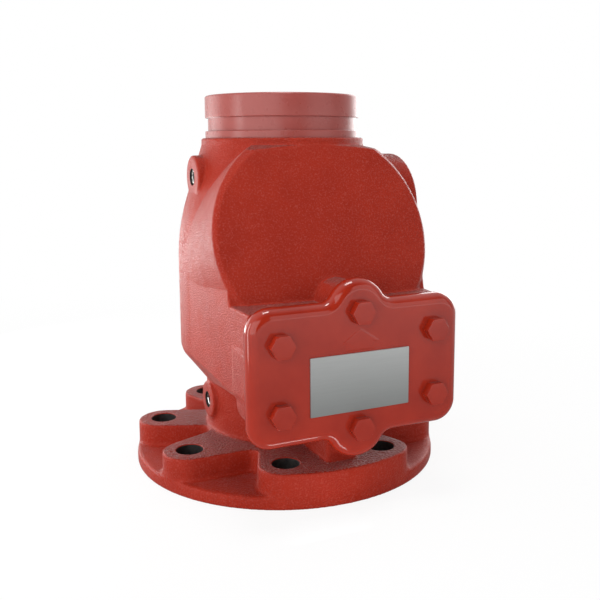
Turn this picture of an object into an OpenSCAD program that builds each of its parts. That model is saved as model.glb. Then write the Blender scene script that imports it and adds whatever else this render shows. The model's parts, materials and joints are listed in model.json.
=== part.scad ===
/* [Flange] */
// Outside diameter of the inlet flange
flange_od = 228.6; // [210:0.1:250]
// Diameter of the bolt circle
bolt_circle_d = 190.5; // [180:0.1:200]
// Number of flange bolt holes
flange_holes = 8; // [8:4:8]
// Diameter of each flange bolt hole
flange_hole_d = 19.05; // [14:0.05:22]
// Height of the machined tops of the bolt pads
pad_top_z = 25; // [20:0.5:30]
// Height of the flange web between the pads
web_z = 9; // [6:0.5:12]
// Half width of each bolt pad arm, also the radius of its round end
pad_arm_w = 19; // [15:0.25:19]
// Fillet radius in the slots between two pad arms
slot_fillet_r = 8; // [4:0.5:10]

/* [Waterway] */
// Outside diameter of the neck above the flange
neck_od = 121; // [118:0.5:126]
// Diameter of the inlet bore
inlet_bore_d = 100; // [90:0.5:104]
// Outside diameter of the barrel
barrel_od = 158.6; // [152:0.2:164]
// Thickness of the cast walls
wall = 7; // [5.5:0.25:8]
// Height where the neck starts to flare out to the barrel
flare_z = 61; // [56:0.5:64]
// Height where the flare reaches the barrel
barrel_z = 86; // [84:0.5:92]
// Height where the barrel starts to close in to the outlet
shoulder_z = 152; // [146:1:156]
// Radius of the curve that starts the shoulder, in the section
shoulder_r = 152; // [120:1:180]
// Slope of the shoulder cone from the axis, and of the clapper pocket
shoulder_slope = 17.2; // [15:0.1:19]
// Height of the top of the shoulder, where the outlet end starts
shoulder_top_z = 241; // [238.5:0.5:244]
// Width of the step between the shoulder's collar and the outlet end
collar_step = 3.1; // [2:0.1:4]

/* [Grooved outlet] */
// Overall height from the flange face to the outlet end
total_h = 271.7; // [266:0.1:280]
// Outside diameter of the outlet end
outlet_od = 114.3; // [112:0.1:116]
// Diameter of the outlet bore
outlet_bore_d = 102.2; // [96:0.1:104]
// Length of the gasket seat beyond the groove
gasket_seat_l = 15.88; // [14:0.01:17]
// Width of the coupling groove
groove_w = 9.53; // [8:0.01:10.5]
// Diameter at the bottom of the coupling groove
groove_d = 110.08; // [108:0.01:111]

/* [Clapper pocket] */
// Distance from the valve axis to the pocket's face at pocket_mid_z
pocket_face_y = 75.9; // [72:0.1:80]
// Height of the middle of the pocket's round face
pocket_mid_z = 175; // [170:0.5:180]
// Height by which the middle of the pocket's face stands out of its sides
pocket_crown = 3.8; // [3.4:0.1:5]
// Height of the ledge that closes the pocket, where it meets the shoulder
pocket_top_z = 237; // [232:0.5:238]
// Slope at which the ledge falls away from the axis
ledge_slope = 12; // [6:0.5:16]
// Bevel round the edge of the pocket's face
pocket_bevel = 2.5; // [1:0.25:4]

/* [Handhole] */
// Distance from the valve axis to the machined face of the handhole
pad_face_y = 115; // [112:0.5:118]
// Thickness of the handhole pad
pad_t = 17; // [14:0.5:19]
// Half width of the throat where it meets the handhole pad
throat_half_w = 72; // [68:0.5:73]
// Height of the throat's flat top
throat_top_z = 135; // [132:0.5:138]
// Height of the throat's lower edge at the pad
throat_low_z = 74.5; // [72:0.5:78]
// Height of the floor inside the throat and round the seat
floor_z = 74; // [72:0.5:75]
// Half width of the handhole window
window_half_w = 44; // [43:0.5:44]
// Half width of the slot that lets the clapper through
slot_half_w = 59.5; // [58.5:0.25:60]
// Lower edge of the clapper slot
slot_low_z = 82; // [81:0.5:84]
// Upper edge of the clapper slot
slot_high_z = 107; // [104:0.5:108]
// Half width of the stiffening foot under the pad
foot_half_w = 11; // [8:0.5:14]

/* [Cover] */
// Thickness of the cover
cover_t = 9; // [8:0.25:12]
// Half width of the cover
cover_half_w = 75; // [73:0.5:78]
// Height of the cover's straight part
cover_h = 89; // [86:0.5:92]
// Height of the middle of the cover
cover_mid_z = 94.6; // [93:0.1:96]
// Corner radius of the cover
cover_corner_r = 15.5; // [12:0.5:18]
// Radius of the round lobe about each middle bolt
lobe_r = 21; // [19:0.5:23]
// Radius of the hollow fillets beside the lobes
lobe_fillet_r = 9; // [6:0.5:12]
// Radius of the rounded front edge
cover_edge_r = 7; // [4:0.25:7.5]
// Thickness of the flat gasket
gasket_t = 1.6; // [1:0.1:3]
// Distance of the corner bolts from the middle plane
bolt_x = 54.8; // [54:0.1:56]
// Height of the corner bolts above and below the cover's middle
bolt_z = 21.8; // [21:0.1:22.5]
// Height of the middle bolts above and below the cover's middle
lobe_bolt_z = 37.8; // [37:0.1:39]
// Diameter of the cover bolts
bolt_d = 9.52; // [8:0.01:10]
// Width across the flats of the bolt heads
bolt_af = 14.3; // [13:0.1:15]
// Height of the bolt heads
bolt_head_h = 5.95; // [5:0.05:7]
// Length of the bolts under the head
bolt_l = 24; // [20:0.5:25]
// Width of the blank nameplate
plate_w = 70.6; // [60:0.1:74]
// Height of the blank nameplate
plate_h = 38; // [30:0.1:38]
// Thickness of the blank nameplate
plate_t = 0.8; // [0.5:0.1:1.5]
// Height of the middle of the nameplate
plate_z = 87.4; // [86:0.1:89]
// Height by which the flow arrow stands out of the cover
arrow_t = 0.8; // [0.4:0.1:1.5]

/* [Seat ring] */
// Bore of the seat ring
seat_bore_d = 96; // [90:0.5:98]
// Width of the seat ring's face
seat_wall = 7; // [5:0.25:7.5]
// Height of the seat face
seat_z = 76; // [75:0.5:78]
// Height of the underside of the seat ring
seat_low_z = 60; // [58:0.5:62]
// Diameter of the seal ring's section
seal_d = 2.4; // [1.8:0.1:3]

/* [Clapper] */
// Distance from the valve axis to the hinge pin
hinge_y = 80; // [78:0.5:81]
// Height of the hinge pin
hinge_z = 92; // [91:0.5:94]
// Angle through which the clapper is drawn open
clapper_angle = 0; // [0:1:70]
// Largest opening of the clapper
clapper_open = 70; // [60:1:70]
// Diameter of the hinge pin
pin_d = 9.5; // [8:0.1:10]
// Length of the hinge pin
pin_l = 84; // [82:0.5:85]
// Outside diameter of the hinge bushes
bush_od = 13; // [12:0.1:14]
// Width of the clapper disc's rim outside the facing
disc_rim = 3; // [2:0.25:4]
// Height of the clapper disc's rim
disc_t = 10; // [8:0.25:10]
// Inside diameter of the rubber facing
facing_id = 60; // [50:1:66]
// Thickness of the rubber facing
facing_t = 5.8; // [4:0.1:6]
// Diameter of the plate that holds the facing
retainer_od = 82; // [76:0.5:86]
// Thickness of the plate that holds the facing
retainer_t = 3; // [2:0.25:4]
// Thickness of the clapper arm over the disc
arm_t = 8; // [6:0.25:8]
// Diameter of the clapper bolt
stud_d = 12.7; // [10:0.1:14]
// Gap between the facing and the seat with the valve at rest
seat_gap = 0.2; // [0.1:0.05:0.4]

/* [Ports] */
// Outside diameter of the drain boss
drain_boss_d = 80; // [76:0.5:84]
// Height by which the drain boss's face stands out of the barrel
drain_out = 16.4; // [12:0.1:18]
// Height of the drain boss
drain_z = 189; // [186:0.5:192]
// Diameter of the drain port
drain_bore_d = 55.6; // [48:0.1:60]
// Outside diameter of the upper gauge boss
upper_boss_d = 31; // [26:0.5:34]
// Depth of the upper gauge boss's face inside the barrel's radius
upper_boss_in = 8.8; // [7:0.1:10]
// Height of the upper gauge boss
upper_boss_z = 213.6; // [210:0.1:216]
// Outside diameter of the lower gauge boss
lower_boss_d = 28; // [24:0.5:30]
// Height by which the lower gauge boss's face stands out of the neck
lower_boss_out = 2.5; // [1.5:0.1:4]
// Height of the lower gauge boss
lower_boss_z = 47; // [44:0.5:48]
// Diameter of the gauge port plugs
plug_d = 12; // [10:0.1:13.5]
// Length of the gauge port plugs
plug_l = 9; // [7:0.25:10]
// Width across the flats of the plugs' sockets
plug_af = 6.4; // [5:0.1:7]
// Depth of the plugs below the boss faces
plug_recess = 1.2; // [0.5:0.1:2]

/* [Hidden] */
$fn = 96;

// Small extra length that lets a cut run clear of a face
eps = 0.5;
// Radial play of a turned fit
fit = 0.03;
// Steps in a quarter turn of a drawn arc
arc_steps = 8;

flange_r = flange_od / 2;
bolt_r = bolt_circle_d / 2;
pad_step = 360 / flange_holes;
pad_half = pad_step / 2;
pad_h = pad_top_z - web_z / 2;
neck_r = neck_od / 2;
barrel_r = barrel_od / 2;
inlet_r = inlet_bore_d / 2;
outlet_r = outlet_od / 2;
outlet_bore_r = outlet_bore_d / 2;
groove_top_z = total_h - gasket_seat_l;
groove_low_z = groove_top_z - groove_w;
cover_face_y = pad_face_y + gasket_t + cover_t;
cover_back_y = pad_face_y + gasket_t;
pad_back_y = pad_face_y - pad_t;
drain_face_x = barrel_r + drain_out;
upper_boss_x = barrel_r - upper_boss_in;
lower_boss_x = neck_r + lower_boss_out;
seat_od = seat_bore_d + 2 * seat_wall;
facing_od = seat_od;
disc_od = facing_od + 2 * disc_rim;
disc_low_z = seat_z + 2;
disc_top_z = disc_low_z + disc_t;
arm_low_z = disc_top_z + 2;
arm_top_z = arm_low_z + arm_t;
facing_low_z = seat_z + seat_gap;
washer_t = 1.6;
nut_h = 6;
stud_head_h = 6;
stud_af = 19;
lug_x = 30;
lug_t = 8;
lug_r = 10;
knuckle_r = 10;
knuckle_x = 14;
knuckle_l = lug_x - knuckle_x - 1;
clip_t = 1.1;
clip_x = lug_x + lug_t + 0.3;

// Points of an arc from angle a to angle b
function arc(c, r, a, b, n = arc_steps) =
    [for (i = [0:n]) let (t = a + (b - a) * i / n) c + r * [cos(t), sin(t)]];

// Unit vector at an angle in the plane
function unit(a) = [cos(a), sin(a)];

// Fillet at a hollow corner p, whose two edges leave at angles a and b
module corner_fillet(p, a, b, r) {
    half = (b - a) / 2;
    run = r / tan(half);
    lap = 1;
    difference() {
        polygon([
            p - lap / sin(half) * unit(a + half),
            p + run * unit(a) + lap * unit(a - 90),
            p + run * unit(b) + lap * unit(b + 90)
        ]);
        translate(p + r / sin(half) * unit(a + half)) circle(r + 0.05);
    }
}

// Turns a shape drawn upright so that its +Z runs to the front, -Y
module to_front() {
    rotate([90, 0, 0]) children();
}

// Tilts a shape so that its +Z is square to the pocket's sloping face
module square_to_pocket() {
    translate([0, -pocket_face_y, pocket_mid_z])
        rotate([90 - shoulder_slope, 0, 0]) children();
}

// Webs that fill between the pad arms, with a fillet in each corner
module pad_webs() {
    corner_y = -bolt_r * sin(pad_half) - pad_arm_w;
    reach = bolt_r * cos(pad_half);
    along = (pad_arm_w * sin(pad_half) - corner_y) / cos(pad_half);
    corner = [along * sin(pad_half) + pad_arm_w * cos(pad_half), corner_y];
    for (side = [0, 45, 90, 135, 180]) rotate(side)
        corner_fillet([pad_arm_w / sin(pad_half), 0], -pad_half, pad_half, slot_fillet_r);
    for (side = [0, 1]) mirror([side, 0, 0]) {
        polygon([[0, 0], corner - [2, 0], [reach, corner_y], [reach, -reach * tan(pad_half)]]);
        corner_fillet(corner, -90 + pad_half, 0, slot_fillet_r - 2);
    }
    // The two front pads join out to the rim
    intersection() {
        circle(flange_r);
        polygon([
            [0, 0],
            2 * flange_r * unit(-90 - pad_half),
            2 * flange_r * unit(-90 + pad_half)
        ]);
    }
}

// Flange with its raised bolt pads, open in the middle for the neck
module flange_solid() {
    difference() {
        union() {
            rotate_extrude() polygon(concat(
                [[0, 0], [flange_r - 0.4, 0], [flange_r, 0.4]],
                arc([flange_r - 2, web_z - 2], 2, 0, 90, 4),
                [[0, web_z]]
            ));
            translate([0, 0, pad_top_z - pad_h]) linear_extrude(pad_h) {
                for (i = [0:flange_holes - 1]) rotate(pad_half + i * pad_step) {
                    translate([bolt_r, 0]) circle(pad_arm_w);
                    translate([0, -pad_arm_w]) square([bolt_r, 2 * pad_arm_w]);
                }
                pad_webs();
            }
        }
        translate([0, 0, -eps]) cylinder(h = pad_top_z + 2 * eps, r = (neck_r + inlet_r) / 2);
        for (i = [0:flange_holes - 1]) rotate(pad_half + i * pad_step)
            translate([bolt_r, 0, -eps]) cylinder(h = pad_top_z + 2 * eps, d = flange_hole_d);
    }
}

// Half section of the barrel, from the flange to the outlet end
module barrel_section() {
    foot_r = 3;
    foot_z = pad_top_z - 0.4;
    cone_z = shoulder_z + shoulder_r * sin(shoulder_slope);
    cone_r = barrel_r - shoulder_r * (1 - cos(shoulder_slope));
    collar_r = outlet_r + collar_step;
    collar_z = cone_z + (cone_r - collar_r) / tan(shoulder_slope);
    polygon(concat(
        [[0, 0], [neck_r + foot_r, 0]],
        arc([neck_r + foot_r, foot_z + foot_r], foot_r, 270, 180, 4),
        [[neck_r, flare_z], [barrel_r - 1.5, barrel_z - 2.8], [barrel_r, barrel_z + 2]],
        arc([barrel_r - shoulder_r, shoulder_z], shoulder_r, 0, shoulder_slope),
        [[collar_r, collar_z], [collar_r, shoulder_top_z], [outlet_r, shoulder_top_z + 0.4]],
        [[outlet_r, groove_low_z], [groove_d / 2, groove_low_z]],
        [[groove_d / 2, groove_top_z], [outlet_r, groove_top_z]],
        [[outlet_r, total_h - 1], [outlet_r - 1, total_h], [0, total_h]]
    ));
}

// Sloping pocket in front of the barrel that takes the open clapper
module pocket_form(r, cut_top, bevel, crown) {
    depth = 2 * pocket_face_y;
    rise = bevel + crown;
    intersection() {
        square_to_pocket() union() {
            translate([0, 0, -bevel]) cylinder(h = rise, r1 = r, r2 = r - rise);
            translate([0, 0, -depth]) cylinder(h = depth - bevel, r = r);
        }
        if (crown > 0) square_to_pocket() pocket_crowning(r - bevel, crown);
        translate([-flange_r, -flange_r, 0]) cube([flange_od, flange_r, cut_top]);
        rotate_extrude() polygon([
            [0, 0], [flange_od, 0], [flange_od, cut_top - (flange_od - outlet_r) * tan(ledge_slope)],
            [outlet_r, cut_top], [0, cut_top]
        ]);
    }
}

// Wide cylinder whose side crowns the pocket's face from edge to edge
module pocket_crowning(half, crown) {
    r = (half * half + crown * crown) / (2 * crown);
    translate([0, 0, crown - r]) rotate([90, 0, 0])
        cylinder(h = 2 * flange_od, r = r, center = true, $fn = 720);
}

// Throat between the barrel and the handhole, drawn from above
module throat_outline(shrink) {
    start_x = barrel_r - 0.15 - shrink;
    end_x = throat_half_w - shrink;
    polygon([[start_x, 0], [end_x, -pad_back_y], [-end_x, -pad_back_y], [-start_x, 0]]);
}

// Throat with its lower edge falling towards the handhole
module throat_solid() {
    drop = atan((barrel_z - throat_low_z) / pad_face_y);
    difference() {
        translate([0, 0, floor_z - wall])
            linear_extrude(throat_top_z - floor_z + wall) throat_outline(0);
        translate([0, 0, barrel_z]) rotate([drop, 0, 0])
            translate([-flange_r, -flange_r, -flange_r]) cube([flange_od, flange_od, flange_r]);
    }
    // The side walls run on up beside the pocket
    intersection() {
        translate([0, 0, throat_top_z - 1]) linear_extrude(shoulder_z - throat_top_z - 1)
            throat_outline(0);
        square_to_pocket() translate([-flange_r, -flange_od, -flange_od - pocket_bevel - 0.3])
            cube([flange_od, 2 * flange_od, flange_od]);
    }
    hull() {
        translate([0, 0, barrel_z + eps]) rotate([drop, 0, 0])
            linear_extrude(1) throat_outline(1);
        translate([0, 0, flare_z]) cylinder(h = 1, r = neck_r - 1, $fn = 32);
        translate([-window_half_w, -pad_back_y, flare_z]) cube([2 * window_half_w, 1, 1]);
    }
}

// Handhole pad with a boss for each cover bolt
module pad_solid() {
    boss_r = 16.5;
    side_z = 14.8;
    foot_h = 26;
    translate([0, -pad_back_y, cover_mid_z]) to_front() union() {
        for (x = [-bolt_x, bolt_x], z = [-bolt_z, bolt_z])
            translate([x, z, -pad_t / 2]) cylinder(h = 1.5 * pad_t, r = boss_r);
        for (z = [-1, 1]) {
            translate([0, z * lobe_bolt_z, -pad_t / 2]) cylinder(h = 1.5 * pad_t, r = boss_r);
            translate([-boss_r, min(z * lobe_bolt_z, 0), 0]) cube([2 * boss_r, lobe_bolt_z, pad_t]);
        }
        translate([-bolt_x, -bolt_z - boss_r, 0]) cube([2 * bolt_x, 2 * (bolt_z + boss_r), pad_t]);
        translate([-throat_half_w - 1.2, -side_z, -pad_t / 2])
            cube([2 * throat_half_w + 2.4, 2 * side_z, 1.5 * pad_t]);
    }
    translate([-foot_half_w, -pad_back_y - 2, pad_top_z - 3])
        cube([2 * foot_half_w, pad_back_y - neck_r + wall, foot_h]);
}

// Round boss with a bevelled edge, its face at distance x from the axis
module side_boss(side, x, z, r, bevel) {
    translate([0, 0, z]) rotate([0, side * 90, 0]) {
        cylinder(h = x - bevel, r = r);
        translate([0, 0, x - bevel]) cylinder(h = bevel, r1 = r, r2 = r - bevel);
    }
}

// Bore along the side direction, from a depth out past the face
module side_bore(side, from, x, z, r) {
    translate([0, 0, z]) rotate([0, side * 90, 0])
        translate([0, 0, from]) cylinder(h = x - from + eps, r = r);
}

// Half section of the waterway, from the inlet through the chamber to the outlet
module waterway_section() {
    inner_r = barrel_r - wall;
    curve_r = shoulder_r - wall;
    cone_z = shoulder_z + curve_r * sin(shoulder_slope);
    cone_r = inner_r - curve_r * (1 - cos(shoulder_slope));
    end_z = cone_z + (cone_r - outlet_bore_r) / tan(shoulder_slope);
    polygon(concat(
        [[0, -eps], [inlet_r, -eps], [inlet_r, seat_low_z]],
        [[seat_od / 2 + fit, seat_low_z], [seat_od / 2 + fit, floor_z]],
        [[neck_r + 1.5, floor_z], [inner_r, barrel_z + 4]],
        arc([inner_r - curve_r, shoulder_z], curve_r, 0, shoulder_slope),
        [[outlet_bore_r, end_z], [outlet_bore_r, total_h + eps], [0, total_h + eps]]
    ));
}

// Everything hollow inside the body
module body_hollow() {
    rotate_extrude() waterway_section();
    translate([0, wall / cos(shoulder_slope), 0])
        pocket_form(barrel_r - wall, pocket_top_z - wall, 0, 0);
    // Throat behind the pad, wide above the floor's edges
    translate([-window_half_w - 6, -pad_back_y, floor_z])
        cube([2 * window_half_w + 12, pad_back_y, throat_top_z - wall - floor_z]);
    translate([-throat_half_w + 9, -pad_back_y, slot_low_z])
        cube([2 * throat_half_w - 18, pad_back_y, throat_top_z - wall - slot_low_z]);
    // Window and clapper slot through the pad
    translate([-window_half_w, -pad_face_y - eps, floor_z])
        cube([2 * window_half_w, pad_t + 2 * eps, throat_top_z - wall - floor_z]);
    translate([-slot_half_w, -pad_face_y - eps, slot_low_z])
        cube([2 * slot_half_w, pad_t + 2 * eps, slot_high_z - slot_low_z]);
}

// Outside of the casting above the flange
module upper_casting() {
    rotate_extrude() barrel_section();
    pocket_form(barrel_r, pocket_top_z, pocket_bevel, pocket_crown);
    throat_solid();
    pad_solid();
}

// Round bosses for the drain and the two gauge ports
module port_bosses() {
    side_boss(1, drain_face_x, drain_z, drain_boss_d / 2, 2);
    side_boss(-1, upper_boss_x, upper_boss_z, upper_boss_d / 2, 0.8);
    side_boss(-1, lower_boss_x, lower_boss_z, lower_boss_d / 2, 0.8);
}

module body() color([0.66, 0.11, 0.07]) difference() {
    union() {
        difference() {
            union() {
                upper_casting();
                port_bosses();
            }
            body_hollow();
        }
        flange_solid();
    }
    for (p = cover_bolts) at_cover_bolt(p, pad_face_y + eps)
        translate([0, 0, -bolt_l - eps]) cylinder(h = bolt_l + eps, d = bolt_d + 2 * fit);
    side_bore(1, barrel_r - 3 * wall, drain_face_x, drain_z, drain_bore_d / 2);
    side_bore(-1, neck_r - 2 * wall, upper_boss_x, upper_boss_z, plug_d / 2 + fit);
    side_bore(-1, neck_r - 2 * wall, lower_boss_x, lower_boss_z, plug_d / 2 + fit);
}

module seat_ring() color([0.72, 0.55, 0.25]) {
    groove_z = (seat_low_z + floor_z) / 2;
    rotate_extrude() difference() {
        polygon([
            [seat_bore_d / 2, seat_low_z], [seat_od / 2, seat_low_z],
            [seat_od / 2, seat_z - 0.5], [seat_od / 2 - 0.5, seat_z],
            [seat_bore_d / 2 + 0.5, seat_z], [seat_bore_d / 2, seat_z - 0.5]
        ]);
        translate([seat_od / 2 - seal_d, groove_z - 0.6 * seal_d])
            square([seal_d + eps, 1.2 * seal_d]);
    }
}

module seat_seal() color([0.08, 0.08, 0.08])
    translate([0, 0, (seat_low_z + floor_z) / 2])
        rotate_extrude() translate([(seat_od - seal_d) / 2, 0]) circle(d = seal_d - fit);

// Places of the six cover bolts, as x and height from the cover's middle
cover_bolts = [
    [-bolt_x, bolt_z], [0, lobe_bolt_z], [bolt_x, bolt_z],
    [bolt_x, -bolt_z], [0, -lobe_bolt_z], [-bolt_x, -bolt_z]
];

// Puts a shape at a cover bolt, its +Z to the front, at distance y from the axis
module at_cover_bolt(p, y) {
    translate([p.x, -y, cover_mid_z + p.y]) to_front() children();
}

// Upper right quarter of the cover's outline, drawn in by a distance
function cover_quarter(inset) =
    let (
        top = cover_h / 2,
        corner = [cover_half_w - cover_corner_r, top - cover_corner_r],
        rise = top + lobe_fillet_r - lobe_bolt_z,
        reach = lobe_r + lobe_fillet_r,
        side = sqrt(reach * reach - rise * rise),
        turn = atan2(rise, side)
    ) concat(
        arc(corner, cover_corner_r - inset, 0, 90),
        arc([side, top + lobe_fillet_r], lobe_fillet_r + inset, -90, turn - 180),
        arc([0, lobe_bolt_z], lobe_r - inset, turn, 90)
    );

// Whole outline, by mirroring the quarter
function cover_outline(inset) =
    let (q = cover_quarter(inset), n = len(q)) concat(
        q,
        [for (i = [n - 2:-1:0]) [-q[i].x, q[i].y]],
        [for (i = [0:n - 1]) [-q[i].x, -q[i].y]],
        [for (i = [n - 2:-1:0]) [q[i].x, -q[i].y]]
    );

// Solid through a stack of outlines that have as many points each
module stacked(rings, heights) {
    n = len(rings[0]);
    last = len(rings) - 1;
    polyhedron(
        points = [for (k = [0:last]) for (p = rings[k]) [p.x, p.y, heights[k]]],
        faces = concat(
            [[for (i = [0:n - 1]) i]],
            [for (k = [0:last - 1]) for (i = [0:n - 1]) let (j = (i + 1) % n)
                [k * n + i, (k + 1) * n + i, (k + 1) * n + j, k * n + j]],
            [[for (i = [n - 1:-1:0]) last * n + i]]
        ),
        convexity = 4
    );
}

// Hinge lug on the inner side of the cover
module cover_lug(side) {
    x = side > 0 ? lug_x : -lug_x - lug_t;
    translate([x, -hinge_y, hinge_z]) rotate([0, 90, 0]) cylinder(h = lug_t, r = lug_r);
    translate([x, -cover_back_y - 1, hinge_z - lug_r])
        cube([lug_t, cover_back_y + 1 - hinge_y, 2 * lug_r]);
    translate([x, -cover_back_y - 1, hinge_z - 1.4 * lug_r])
        cube([lug_t, cover_back_y - pad_back_y, 2.8 * lug_r]);
}

// Plain arrow that shows the direction of flow
module flow_arrow() {
    shaft_half = 10.5;
    head_half = 14;
    shaft_low = plate_z + plate_h / 2 + 1;
    head_low = shaft_low + 5.5;
    tip = head_low + 9.5;
    translate([0, 1 - cover_face_y, 0]) to_front() linear_extrude(1 + arrow_t) polygon([
        [-shaft_half, shaft_low], [shaft_half, shaft_low], [shaft_half, head_low],
        [head_half, head_low], [0, tip], [-head_half, head_low], [-shaft_half, head_low]
    ]);
}

module handhole_cover() color([0.66, 0.11, 0.07]) {
    steps = 6;
    edge = [for (i = [0:steps]) 90 * i / steps];
    difference() {
        union() {
            translate([0, -cover_back_y, cover_mid_z]) to_front() stacked(
                concat([cover_outline(0)], [for (a = edge) cover_outline(cover_edge_r * (1 - cos(a)))]),
                concat([0], [for (a = edge) cover_t - cover_edge_r + cover_edge_r * sin(a)])
            );
            for (side = [-1, 1]) cover_lug(side);
            flow_arrow();
        }
        for (p = cover_bolts) at_cover_bolt(p, cover_face_y + eps)
            translate([0, 0, -cover_t - 2 * eps]) cylinder(h = cover_t + 2 * eps, d = bolt_d + 0.8);
        translate([-pin_l / 2, -hinge_y, hinge_z]) rotate([0, 90, 0])
            cylinder(h = pin_l, d = pin_d + 2 * fit);
    }
}

module cover_gasket() color([0.1, 0.1, 0.1]) difference() {
    translate([0, -pad_face_y, cover_mid_z]) to_front()
        linear_extrude(gasket_t) polygon(cover_outline(3.5));
    translate([-window_half_w, -cover_back_y - eps, floor_z])
        cube([2 * window_half_w, gasket_t + 2 * eps, throat_top_z - wall - floor_z]);
    for (p = cover_bolts) at_cover_bolt(p, cover_back_y + eps)
        translate([0, 0, -gasket_t - 2 * eps]) cylinder(h = gasket_t + 2 * eps, d = bolt_d + 0.8);
}

module nameplate() color([0.75, 0.75, 0.76])
    translate([-plate_w / 2, -cover_face_y - plate_t, plate_z - plate_h / 2])
        cube([plate_w, plate_t, plate_h]);

// Hexagon head with bevelled corners, standing on z = 0
module hex_head(af, h) {
    corner_r = af / sqrt(3);
    intersection() {
        cylinder(h = h, r = corner_r, $fn = 6);
        union() {
            cylinder(h = h - 0.8, r = corner_r + 1);
            translate([0, 0, h - 0.8]) cylinder(h = 0.8, r1 = corner_r + 0.6, r2 = corner_r - 0.5);
        }
    }
}

module cover_bolt(i) color([0.62, 0.1, 0.07]) at_cover_bolt(cover_bolts[i], cover_face_y) {
    hex_head(bolt_af, bolt_head_h);
    translate([0, 0, -bolt_l]) cylinder(h = bolt_l + 1, d = bolt_d);
}

module hinge_pin() color("silver") translate([0, -hinge_y, hinge_z]) rotate([0, 90, 0])
    difference() {
        translate([0, 0, -pin_l / 2]) cylinder(h = pin_l, d = pin_d);
        for (side = [-1, 1]) translate([0, 0, side * clip_x + (side - 1) / 2 * clip_t]) difference() {
            cylinder(h = clip_t, d = pin_d + 1);
            translate([0, 0, -eps]) cylinder(h = clip_t + 2 * eps, d = pin_d - 2);
        }
    }

module hinge_clip(side) color("dimgray")
    translate([side > 0 ? clip_x : -clip_x - clip_t, -hinge_y, hinge_z]) rotate([0, 90, 0])
        difference() {
            cylinder(h = clip_t, d = pin_d + 5);
            translate([0, 0, -eps]) cylinder(h = clip_t + 2 * eps, d = pin_d - 2 + 2 * fit);
            translate([0, -pin_d / 2 + 1.4, -eps])
                cube([pin_d, pin_d - 2.8, clip_t + 2 * eps]);
        }

// Turns the clapper parts about the hinge pin
module swung() {
    translate([0, -hinge_y, hinge_z]) rotate([clapper_angle, 0, 0])
        translate([0, hinge_y, -hinge_z]) children();
}

module hinge_bush(side) color([0.72, 0.55, 0.25]) swung()
    translate([side > 0 ? knuckle_x : -knuckle_x - knuckle_l, -hinge_y, hinge_z])
        rotate([0, 90, 0]) difference() {
            cylinder(h = knuckle_l, d = bush_od);
            translate([0, 0, -eps]) cylinder(h = knuckle_l + 2 * eps, d = pin_d + 2 * fit);
        }

module clapper_arm() color([0.45, 0.45, 0.46]) swung() {
    hub_r = 15;
    stop_y = hinge_y - 42;
    lean = 90 - shoulder_slope - clapper_open;
    inner_face = (pocket_face_y - hinge_y) * cos(shoulder_slope)
        + (pocket_mid_z - hinge_z) * sin(shoulder_slope) - wall;
    stop_h = inner_face + (hinge_y - stop_y) * sin(lean) - 0.5;
    difference() {
        union() {
            translate([0, 0, arm_low_z]) cylinder(h = arm_t, r = hub_r);
            for (side = [-1, 1]) {
                translate([0, 0, arm_low_z]) linear_extrude(arm_t) polygon([
                    [side * 3, 0], [side * (hub_r - 1), 4],
                    [side * (knuckle_x + knuckle_l), knuckle_r / 2 - hinge_y],
                    [side * (knuckle_x + knuckle_l), -hinge_y],
                    [side * knuckle_x, -hinge_y], [side * 3, -hub_r]
                ]);
                translate([side > 0 ? knuckle_x : -knuckle_x - knuckle_l, -hinge_y, hinge_z])
                    rotate([0, 90, 0]) cylinder(h = knuckle_l, r = knuckle_r);
            }
            translate([-18, -stop_y - 5, arm_low_z]) cube([36, 10, arm_t]);
            translate([0, -stop_y, arm_low_z]) cylinder(h = hinge_z + stop_h - arm_low_z, r = 5);
        }
        translate([0, 0, arm_low_z - eps]) cylinder(h = arm_t + 2 * eps, d = stud_d + 0.4);
        translate([-lug_x, -hinge_y, hinge_z]) rotate([0, 90, 0])
            cylinder(h = 2 * lug_x, d = bush_od + 2 * fit);
    }
}

module clapper_disc() color([0.72, 0.55, 0.25]) swung() {
    facing_top_z = facing_low_z + facing_t;
    rotate_extrude() polygon([
        [stud_d / 2 + 0.2, facing_low_z], [facing_id / 2 - fit, facing_low_z],
        [facing_id / 2 - fit, facing_top_z], [facing_od / 2 + fit, facing_top_z],
        [facing_od / 2 + fit, disc_low_z], [disc_od / 2 - 0.5, disc_low_z],
        [disc_od / 2, disc_low_z + 0.5], [disc_od / 2, disc_top_z - 2],
        [disc_od / 2 - 2, disc_top_z], [20, disc_top_z], [16, arm_low_z],
        [stud_d / 2 + 0.2, arm_low_z]
    ]);
}

module clapper_facing() color([0.07, 0.07, 0.07]) swung()
    translate([0, 0, facing_low_z]) difference() {
        cylinder(h = facing_t, d = facing_od);
        translate([0, 0, -eps]) cylinder(h = facing_t + 2 * eps, d = facing_id);
    }

module facing_retainer() color([0.72, 0.55, 0.25]) swung()
    translate([0, 0, facing_low_z - retainer_t]) difference() {
        union() {
            translate([0, 0, 1]) cylinder(h = retainer_t - 1, d = retainer_od);
            cylinder(h = 1, d1 = retainer_od - 2, d2 = retainer_od);
        }
        translate([0, 0, -eps]) cylinder(h = retainer_t + 2 * eps, d = stud_d + 0.4);
    }

module clapper_bolt() color("silver") swung() {
    head_z = facing_low_z - retainer_t;
    translate([0, 0, head_z]) mirror([0, 0, 1]) hex_head(stud_af, stud_head_h);
    translate([0, 0, head_z - 1])
        cylinder(h = arm_top_z + washer_t + nut_h + 2.5 - head_z, d = stud_d);
}

module clapper_washer() color("silver") swung() translate([0, 0, arm_top_z]) difference() {
    cylinder(h = washer_t, d = stud_af + 4);
    translate([0, 0, -eps]) cylinder(h = washer_t + 2 * eps, d = stud_d + 0.4);
}

module clapper_nut() color("silver") swung() translate([0, 0, arm_top_z + washer_t]) difference() {
    hex_head(stud_af, nut_h);
    translate([0, 0, -eps]) cylinder(h = nut_h + 2 * eps, d = stud_d + 2 * fit);
}

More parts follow.
